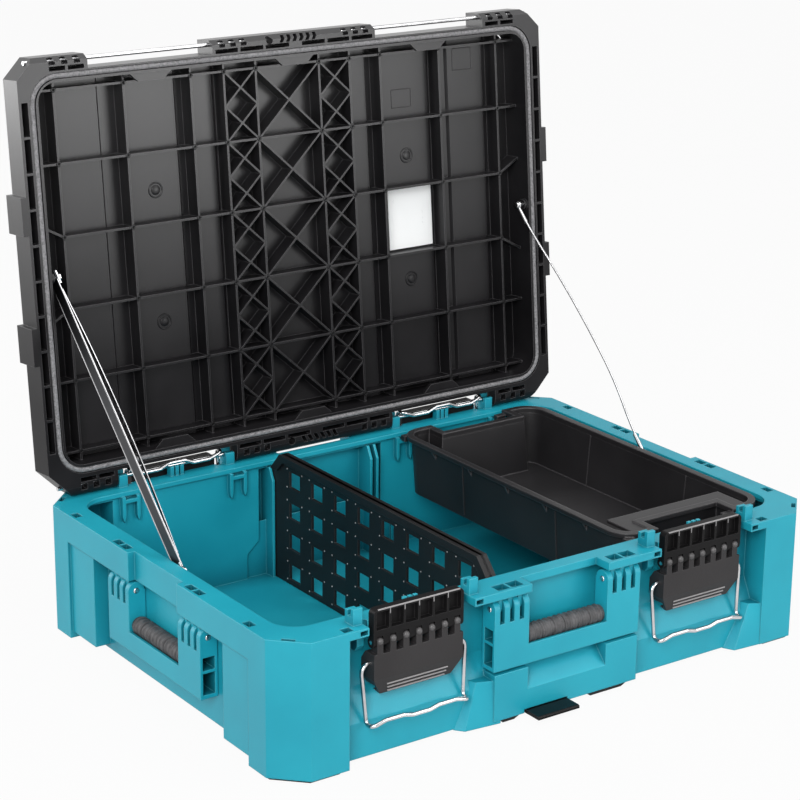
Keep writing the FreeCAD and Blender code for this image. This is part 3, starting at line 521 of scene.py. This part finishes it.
def make_rings_tree():
    """Round rings, such as tube ends and moulded rims, at each point."""
    tree, source, sink = repeat_tree("rings_at_points", [
        ("Radius", "Float", 0.003), ("Thickness", "Float", 0.0008), ("Turn", "Rotation", None)])
    path = tree.nodes.new("GeometryNodeCurvePrimitiveCircle")
    path.inputs["Resolution"].default_value = 20
    tree.links.new(source.outputs["Radius"], path.inputs["Radius"])
    ring = swept(tree, path.outputs["Curve"], source.outputs["Thickness"], 8)
    close_tree(tree, source, sink, instances(tree, source, ring))
    return tree


def make_domes_tree():
    """Low domes, such as rivet heads and studs, at each point."""
    tree, source, sink = repeat_tree("domes_at_points", [
        ("Radius", "Float", 0.0015), ("Rise", "Float", 0.6), ("Turn", "Rotation", None)])
    ball = tree.nodes.new("GeometryNodeMeshUVSphere")
    ball.inputs["Segments"].default_value = 12
    ball.inputs["Rings"].default_value = 7
    tree.links.new(source.outputs["Radius"], ball.inputs["Radius"])
    low = tree.nodes.new("GeometryNodeTransform")
    size = tree.nodes.new("ShaderNodeCombineXYZ")
    size.inputs[0].default_value = size.inputs[1].default_value = 1
    tree.links.new(source.outputs["Rise"], size.inputs[2])
    tree.links.new(ball.outputs["Mesh"], low.inputs["Geometry"])
    tree.links.new(size.outputs[0], low.inputs["Scale"])
    close_tree(tree, source, sink, instances(tree, source, low.outputs[0]))
    return tree


def make_bars_tree():
    """Round bars along their own Z, at each point."""
    tree, source, sink = repeat_tree("bars_at_points", [
        ("Length", "Float", 0.05), ("Radius", "Float", 0.001), ("Turn", "Rotation", None)])
    line = tree.nodes.new("GeometryNodeCurvePrimitiveLine")
    for label, share in (("Start", -0.5), ("End", 0.5)):
        end = tree.nodes.new("ShaderNodeCombineXYZ")
        tree.links.new(math_node(tree, "MULTIPLY", source.outputs["Length"], share), end.inputs[2])
        tree.links.new(end.outputs[0], line.inputs[label])
    bar = swept(tree, line.outputs["Curve"], source.outputs["Radius"], 10)
    close_tree(tree, source, sink, instances(tree, source, bar))
    return tree


def make_tubes_tree():
    """Tube along the edges that it is given, with rounded corners."""
    tree, source, sink = repeat_tree("tube_on_edges", [
        ("Radius", "Float", 0.002), ("Corner", "Float", 0.01)])
    path = tree.nodes.new("GeometryNodeMeshToCurve")
    tree.links.new(source.outputs["Geometry"], path.inputs["Mesh"])
    fillet = tree.nodes.new("GeometryNodeFilletCurve")
    fillet.mode = "POLY"
    fillet.inputs["Limit Radius"].default_value = True
    fillet.inputs["Count"].default_value = 8
    tree.links.new(path.outputs[0], fillet.inputs["Curve"])
    tree.links.new(source.outputs["Corner"], fillet.inputs["Radius"])
    close_tree(tree, source, sink, swept(tree, fillet.outputs[0], source.outputs["Radius"], 10))
    return tree


RINGS = make_rings_tree()
DOMES = make_domes_tree()
BARS = make_bars_tree()
TUBES = make_tubes_tree()
ALONG_X = (0, math.radians(90), 0)
ALONG_Y = (math.radians(90), 0, 0)
UPRIGHT = (0, 0, 0)
LID_TURN = (math.radians(-LID_OPEN), 0, 0)


# Ways to make a piece

def plain_piece(name, mesh):
    piece = bpy.data.objects.new(name, mesh)
    scene.collection.objects.link(piece)
    return piece


def grown(name, tree, body, slot, finish, points, edges=(), **values):
    """Piece grown by a tree from points or edges, made a plain mesh and set on its body, if it has one."""
    seed = bpy.data.meshes.new(name + "_points")
    seed.from_pydata([tuple(p) for p in points], list(edges), [])
    carrier = plain_piece(name + "_carrier", seed)
    modifier = carrier.modifiers.new("grow", "NODES")
    modifier.node_group = tree
    for socket in tree.interface.items_tree:
        if socket.in_out != "INPUT" or socket.name == "Geometry":
            continue
        modifier[socket.identifier] = finish if socket.name == "Finish" else values[socket.name]
    bpy.context.view_layer.update()
    evaluated = carrier.evaluated_get(bpy.context.evaluated_depsgraph_get())
    mesh = bpy.data.meshes.new_from_object(evaluated)
    carrier.modifiers.remove(modifier)
    bpy.data.objects.remove(carrier)
    mesh.name = name
    mesh.materials.clear()
    mesh.materials.append(finish)
    piece = plain_piece(name, mesh)
    if body:
        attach(piece, body)
    return piece


def prisms(name, body, finish, outlines):
    """Piece of closed prisms, each between two outlines of as many corners."""
    bm = bmesh.new()
    for low, high in outlines:
        near, far = ([bm.verts.new(p) for p in outline] for outline in (low, high))
        bm.faces.new(near)
        bm.faces.new(far)
        for i in range(len(near)):
            k = (i + 1) % len(near)
            bm.faces.new((near[i], near[k], far[k], far[i]))
    bmesh.ops.recalc_face_normals(bm, faces=bm.faces)
    mesh = bpy.data.meshes.new(name)
    bm.to_mesh(mesh)
    bm.free()
    mesh.materials.append(finish)
    piece = plain_piece(name, mesh)
    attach(piece, body)
    return piece


def chain(path):
    """Edges that join points in their order."""
    return [(i, i + 1) for i in range(len(path) - 1)]


# Cable and stay between base and lid

def stay_run(base):
    """Start, direction and length of a stay, in metres, in the YZ plane."""
    top = on_lid(0, *LID_ANCHOR)
    start = mm(0, *base)
    run = top - start
    return start, run.normalized(), run.length


def make_cable():
    """Thin steel cable on a smooth spline, slack between its two crimped ends."""
    start, run, length = stay_run(CABLE_BASE)
    low = start + mm(CABLE_X[0], 0, 0)
    high = start + run * length + mm(CABLE_X[1], 0, 0)
    end, straight = 0.010, 0.034        # metres from each screw to the cable's end and its first bend
    third = length * 0.3
    sag = mm(13, 0, -4)
    shoulder = sag * 0.85
    route = [low + run * end, low + run * straight, low + run * third + shoulder, (low + high) * 0.5 + sag,
             high - run * third + shoulder, high - run * straight, high - run * end]
    data = bpy.data.curves.new("cable_route", "CURVE")
    data.dimensions = "3D"
    data.resolution_u = 24
    spline = data.splines.new("NURBS")
    spline.points.add(len(route) - 1)
    for point, place in zip(spline.points, route):
        point.co = (*place, 1)
    spline.order_u = 3
    spline.use_endpoint_u = True
    holder = plain_piece("cable_route", data)
    bpy.context.view_layer.update()
    line = bpy.data.meshes.new_from_object(holder.evaluated_get(bpy.context.evaluated_depsgraph_get()))
    path = [tuple(v.co) for v in line.vertices]
    bpy.data.objects.remove(holder)
    cable = grown("lid_cable_wire", TUBES, None, "zinc_steel", ZINC, path, chain(path),
                  Radius=0.0012, Corner=0.0)
    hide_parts("lid_cable")
    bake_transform(cable)


def strip_mesh(name, along, sideways, low, high, thick):
    """Thin flat strip: along gives places on its run, sideways its X there."""
    start, run, _ = stay_run(STAY_BASE)
    across = Vector((0, -run.z, run.y))
    mesh = bpy.data.meshes.new(name)
    bm = bmesh.new()
    rows = []
    for s in along:
        x = sideways(s)
        place = start + run * s
        rows.append([bm.verts.new(place + across * w + Vector((x + t, 0, 0)))
                     for w, t in ((low, 0), (high, 0), (high, thick), (low, thick))])
    for a, b in zip(rows, rows[1:]):
        for i in range(4):
            bm.faces.new((a[i], a[(i + 1) % 4], b[(i + 1) % 4], b[i]))
    bm.faces.new(rows[0][::-1])
    bm.faces.new(rows[-1])
    bmesh.ops.recalc_face_normals(bm, faces=bm.faces)
    bm.to_mesh(mesh)
    bm.free()
    return mesh


def make_stay():
    """Flat steel stay: a dark strip with bright edges and a narrow bowed spring on its upper edge."""
    start, run, length = stay_run(STAY_BASE)
    # Metres: the strip's outer face, its steel, the gap behind it, its edges and its length past the screws
    face, thick, gap = -0.297, 0.0008, 0.0001
    low, high, overlap = -0.012, 0.004, 0.006
    # The spring's lower edge, its distance from the screws and its bow, and the trim's place in the strip
    spring_low, inset, bow = 0.0005, 0.016, 0.005
    trim_inset, trim_end = 0.0002, 0.004
    steps = [i / 48 for i in range(49)]
    span = length - 2 * inset

    def bowed(s):
        t = (s - inset) / span
        return face + thick + gap + bow * 4 * t * (1 - t)

    strips = (
        ("outer", [(length + 2 * overlap) * t - overlap for t in steps], lambda s: face, low, SPRING_STEEL),
        ("inner", [inset + span * t for t in steps], bowed, spring_low, ZINC))
    for name, along, sideways, lower, finish in strips:
        mesh = strip_mesh("stay_" + name, along, sideways, lower, high, thick)
        mesh.materials.append(finish)
        strip = plain_piece("stay_" + name + "_strip", mesh)
        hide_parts("stay_strip_" + name)
        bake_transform(strip)
    across = Vector((0, -run.z, run.y))
    for name, side in (("low", low + trim_inset), ("high", high - trim_inset)):
        line = start + across * side + Vector((face + thick / 2, 0, 0))
        path = [line + run * (trim_end + (length - 2 * trim_end) * t) for t in steps]
        edge = grown("stay_bright_edge_" + name, TUBES, None, "zinc_steel", ZINC, path, chain(path),
                     Radius=0.0009, Corner=0.0)
        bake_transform(edge)


def make_crimps():
    """Thick crimped sleeves where the cable leaves its eyelets."""
    start, run, length = stay_run(CABLE_BASE)
    for name, body, x, near, far in (("lower", "base", CABLE_X[0], 0.008, 0.027),
                                     ("upper", "lid", CABLE_X[1], length - 0.024, length - 0.008)):
        path = [start + run * s + mm(x, 0, 0) for s in (near, far)]
        grown("cable_crimp_" + name, TUBES, body, "zinc_steel", ZINC, path, chain(path),
              Radius=0.0021, Corner=0.0)


make_cable()
make_stay()
make_crimps()


# Lid details

def make_lid_forms():
    """Raised bands on the inner face, tapered pads on the long walls, and the label on its band."""
    sunk = 0.3                              # depth of the forms in the wall behind them
    flank = 3                               # slope at the sides of a band
    bands = []
    for near, far in BANDS:
        for s in SIGNS:
            outline = [(s * near, DECK_FACE + sunk), (s * (near + flank), BAND_FACE),
                       (s * (far - flank), BAND_FACE), (s * far, DECK_FACE + sunk)]
            bands.append([[on_lid(x, side * CAVITY_Y, z) for x, z in outline] for side in SIGNS])
    prisms("lid_bands", "lid", CHARCOAL, bands)
    root, tip, rise = 24.5, 15, 8.5         # half widths of a pad and how far it stands out
    levels = (LID_Z + 3.5, LID_Z + 7.5)
    pads = []
    for x in (-LATCH_X, 0, LATCH_X):
        for side in SIGNS:
            outline = [(x - root, CAVITY_Y + sunk), (x - tip, CAVITY_Y - rise), (x + tip, CAVITY_Y - rise),
                       (x + root, CAVITY_Y + sunk)]
            pads.append([[on_lid(u, side * v, z) for u, v in outline] for z in levels])
    prisms("lid_wall_pads", "lid", CHARCOAL, pads)
    left, right, half, thick = 132, 191, 34, 0.4
    corners = ((left, -half), (right, -half), (right, half), (left, half))
    label = prisms("lid_label_sheet", "lid", LABEL_PAPER,
                   [[[on_lid(x, y, z) for x, y in corners] for z in (BAND_FACE - thick, BAND_FACE)]])
    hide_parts("lid_label")


def make_lid_details():
    """Tube ends where the ribs cross, with dark domes as painted shade in their openings, and round and
    square marks on the bands.
    """
    rows = [(i - (RIB_ROWS - 1) / 2) * RIB_PITCH for i in range(RIB_ROWS)]
    crossings = [(s * x, y) for y in rows for x in RIB_COLUMNS for s in SIGNS]
    grown("lid_rib_tubes", RINGS, "lid", "black_shell", CHARCOAL,
          [on_lid(x, y, RIB_Z) for x, y in crossings], Radius=0.002, Thickness=0.001, Turn=LID_TURN)
    # Dark domes in the tube openings: painted shade standing for the inside of the holes
    grown("lid_rib_tube_hole_shade", DOMES, "lid", "black_shell", LATCH_BLACK,
          [on_lid(x, y, RIB_Z + 0.1) for x, y in crossings], Radius=0.0014, Rise=0.4, Turn=LID_TURN)
    dimple_x, dimple_y = 160, 70
    dimples = [on_lid(sx * dimple_x, sy * dimple_y, BAND_FACE) for sx in SIGNS for sy in SIGNS]
    grown("lid_deck_dimples", RINGS, "lid", "black_shell", CHARCOAL, dimples,
          Radius=0.0078, Thickness=0.001, Turn=LID_TURN)
    grown("lid_deck_buttons", DOMES, "lid", "black_shell", CHARCOAL, dimples,
          Radius=0.0055, Rise=0.25, Turn=LID_TURN)
    squares = ((143, 169, -144, -124), (228, 254, -182, -158))
    for number, (x0, x1, y0, y1) in enumerate(squares):
        outline = [on_lid(x, y, BAND_FACE) for x, y in ((x0, y0), (x1, y0), (x1, y1), (x0, y1))]
        grown("lid_mark_frame_%d" % number, TUBES, "lid", "black_shell", CHARCOAL, outline,
              chain(outline) + [(3, 0)], Radius=0.0005, Corner=0.001)


make_lid_forms()
make_lid_details()


# Latch details

def make_bail_wires():
    """Smoothly bent wires of the bails: the front ones hang, the rear ones hook over the lid's rods."""
    pin_y, pin_z = -222.0, 96.5
    hook, hang = 53.0, 174.3                # reach to the rod, and the turn to where a wire hangs
    ends, arms, sides = 45.8, 59, 55        # half widths of the wire, from its pin outwards
    off = 8                                 # its far run stands off the arms
    far, middle = hook + 5.7, hook + 4.6
    for corner, (sx, sy) in CORNERS.items():
        front = sy < 0
        dip = hook + 2.2 if front else hook
        half = [(ends, 0, 0), (arms, 0, 0), (sides, -2.6, far), (sides, off, far), (40, off, dip),
                (20, off, dip), (9.8, off, middle)]
        whole = [(-x, u, v) for x, u, v in half] + half[::-1]
        turn = math.radians(hang if front else 0)
        shift = FRONT_SHIFT if front else 0
        path = [mm(sx * LATCH_X + x, -sy * (pin_y + u * math.cos(turn) - v * math.sin(turn)) + shift,
                   pin_z + u * math.sin(turn) + v * math.cos(turn)) for x, u, v in whole]
        wire = grown("bail_wire_" + corner, TUBES, "bail_" + corner, "zinc_steel", ZINC, path, chain(path),
                     Radius=0.0021, Corner=0.009)
        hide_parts("latch_bail_" + corner)


def make_latch_details():
    """Caps of the knuckles, and pale lines painted as highlights on the levers' bars and on the plates' rib
    tops and upper edge.
    """
    places = [(i - (KNUCKLES - 1) / 2) * KNUCKLE_PITCH for i in range(KNUCKLES)]
    cap_y, cap_z = 230.2, 119.5
    # A lever's sloping foot at its upper and lower end, and the lines' places down it
    foot_y, foot_z, foot_width = (231.1, 225.6), (82, 65), (72, 64)
    line_shares = (0.43, 0.67, 0.91)
    face, edge_y, edge_z, tick_z = 230.4, 230.2, 150.7, 147.8
    cells, margin, rib = 6, 3, 2.4
    pitch = (2 * (LATCH_HALF - margin) + rib) / cells
    for corner, (sx, sy) in CORNERS.items():
        x = sx * LATCH_X
        shift = FRONT_SHIFT if sy < 0 else 0
        grown("latch_knuckle_caps_" + corner, DOMES, "base", "black_fitting", KNUCKLE_GREY,
              [mm(x + p, sy * cap_y + shift, cap_z) for p in places], Radius=0.0034, Rise=0.9, Turn=ALONG_Y)
        for number, share in enumerate(line_shares):
            y, z, width = (a + (b - a) * share for a, b in (foot_y, foot_z, foot_width))
            grown("lever_grip_line_%d_%s" % (number, corner), BARS, "lever_" + corner, "black_fitting",
                  HIGHLIGHT_LINE, [mm(x, sy * y + shift, z)], Length=width * MM, Radius=0.0008, Turn=ALONG_X)
        first = x - LATCH_HALF + margin - rib / 2
        # Painted highlights: pale ticks on the plate's rib tops and a pale bar along its upper edge
        grown("latch_plate_tick_highlights_" + corner, BARS, "base", "black_fitting", HIGHLIGHT_LINE,
              [mm(first + i * pitch, sy * face + shift, tick_z) for i in range(1, cells)],
              Length=0.0056, Radius=0.0005, Turn=UPRIGHT)
        grown("latch_plate_edge_highlight_" + corner, BARS, "base", "black_fitting", HIGHLIGHT_LINE,
              [mm(x, sy * edge_y + shift, edge_z)], Length=0.092, Radius=0.0008, Turn=ALONG_X)


make_bail_wires()
make_latch_details()


# Handle details

def make_handle_details():
    """Wrapped rings on the grips and round heads on the handle pins."""
    count, pitch = 15, 6.2
    rings = [(i - (count - 1) / 2) * pitch for i in range(count)]
    heads = [side * x for side in SIGNS for x in (47.9, 89.1)]
    head_out = 2                            # the pins lie this much further out than the grips
    front, ends = 221, 314
    walls = {                               # place along the wall, heights of grip and pins, and turn
        "front": (lambda t, out, z: mm(t, -front - out, z), 83, 119, ALONG_X),
        "left": (lambda t, out, z: mm(-ends - out, t, z), 61, 97, ALONG_Y),
        "right": (lambda t, out, z: mm(ends + out, t, z), 61, 97, ALONG_Y)}
    for wall, (place, grip_z, pin_z, turn) in walls.items():
        grown("grip_rings_" + wall, RINGS, "handle_" + wall, "grip_rubber", GRIP_RUBBER,
              [place(t, 0, grip_z) for t in rings], Radius=0.0081, Thickness=0.0015, Turn=turn)
        grown("handle_pin_heads_" + wall, DOMES, "base", "zinc_steel", ZINC,
              [place(t, head_out, pin_z) for t in heads], Radius=0.0032, Rise=0.35, Turn=turn)


make_handle_details()


# Divider, tray, and the pads under the front block

def divider_edge(z):
    """Half length of the divider at a height."""
    if z < DIVIDER_SHOULDER:
        return DIVIDER_HALF
    return DIVIDER_HALF - DIVIDER_CUT * (z - DIVIDER_SHOULDER) / (DIVIDER_TOP - DIVIDER_SHOULDER)


def make_divider_panel():
    """Perforated panel with a bead along its upper edge."""
    pitch_y, pitch_z, lowest = 43.5, 35.3, 22
    half_y, half_z = 10.5, 9                # half sizes of a hole
    columns = [(i - 3.5) * pitch_y for i in range(8)]
    rows = [lowest + j * pitch_z for j in range(4)]
    across = sorted(y + side * half_y for y in columns for side in SIGNS)
    levels = sorted([DIVIDER_LOW, DIVIDER_SHOULDER, DIVIDER_TOP]
                    + [z + side * half_z for z in rows for side in SIGNS])
    left, right = DIVIDER_FACES
    bm = bmesh.new()
    grid = [[bm.verts.new(mm(left, y, z)) for y in (-divider_edge(z), *across, divider_edge(z))]
            for z in levels]
    for low, high, z0, z1 in zip(grid, grid[1:], levels, levels[1:]):
        holed = any(abs((z0 + z1) / 2 - z) < half_z for z in rows)
        for i in range(len(low) - 1):
            if holed and i % 2 == 1:
                continue
            bm.faces.new((low[i], low[i + 1], high[i + 1], high[i]))
    thick = bmesh.ops.extrude_face_region(bm, geom=bm.faces[:])
    far_side = [v for v in thick["geom"] if isinstance(v, bmesh.types.BMVert)]
    bmesh.ops.translate(bm, vec=mm(right - left, 0, 0), verts=far_side)
    bmesh.ops.recalc_face_normals(bm, faces=bm.faces)
    mesh = bpy.data.meshes.new("divider_panel")
    bm.to_mesh(mesh)
    bm.free()
    mesh.materials.append(DIVIDER_BLACK)
    panel = plain_piece("divider_panel", mesh)
    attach(panel, "divider")
    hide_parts("divider")
    foot, under = 133, DIVIDER_TOP - 8
    half = [(170, under), (182, foot), (divider_edge(foot), foot), (divider_edge(DIVIDER_TOP), DIVIDER_TOP)]
    bead = half + [(-y, z) for y, z in half[::-1]]
    prisms("divider_bead", "divider", DIVIDER_BLACK,
           [[[mm(x, y, z) for y, z in bead] for x in (-70, -58)]])
    # Studs beside each hole, coloured pale as a painted highlight
    beside_hole = ((-14.5, 11), (14.5, 11), (14.5, -9.5))
    studs = [(y + dy, z + dz) for y in columns for z in rows for dy, dz in beside_hole]
    for side, x in (("left", left), ("right", right)):
        grown("divider_studs_" + side, DOMES, "divider", "black_shell", STUD_HIGHLIGHT,
              [mm(x, y, z) for y, z in studs], Radius=0.001, Rise=0.6, Turn=ALONG_X)


def make_block_pads():
    """Small rubber pads under the front centre block, beside the release tab."""
    top, bottom, front, rear = 6.2, 2.5, -231.5, -220
    pads = []
    for left, right in ((-79.5, -55), (28, 78)):
        outline = [(left, top), (left + 3, bottom), (right - 8, bottom), (right, top)]
        pads.append([[mm(x, y, z) for x, z in outline] for y in (front, rear)])
    prisms("block_pads", "base", FOOT_RUBBER, pads)


def make_tray_beads():
    """Thin upright beads on both faces of the tray's leaning long walls."""
    middle, lean = 106.5, math.radians(4.1)
    inner, outer, along = 86.2, 88.8, 80
    for name, side in (("left", -1), ("right", 1)):
        beads = [mm(TRAY_X + side * half, s * along, middle) for half in (inner, outer) for s in SIGNS]
        grown("tray_beads_" + name, BARS, "tray", "black_shell", TRAY_BLACK, beads,
              Length=0.058, Radius=0.0009, Turn=(0, side * lean, 0))


make_divider_panel()
make_block_pads()
make_tray_beads()
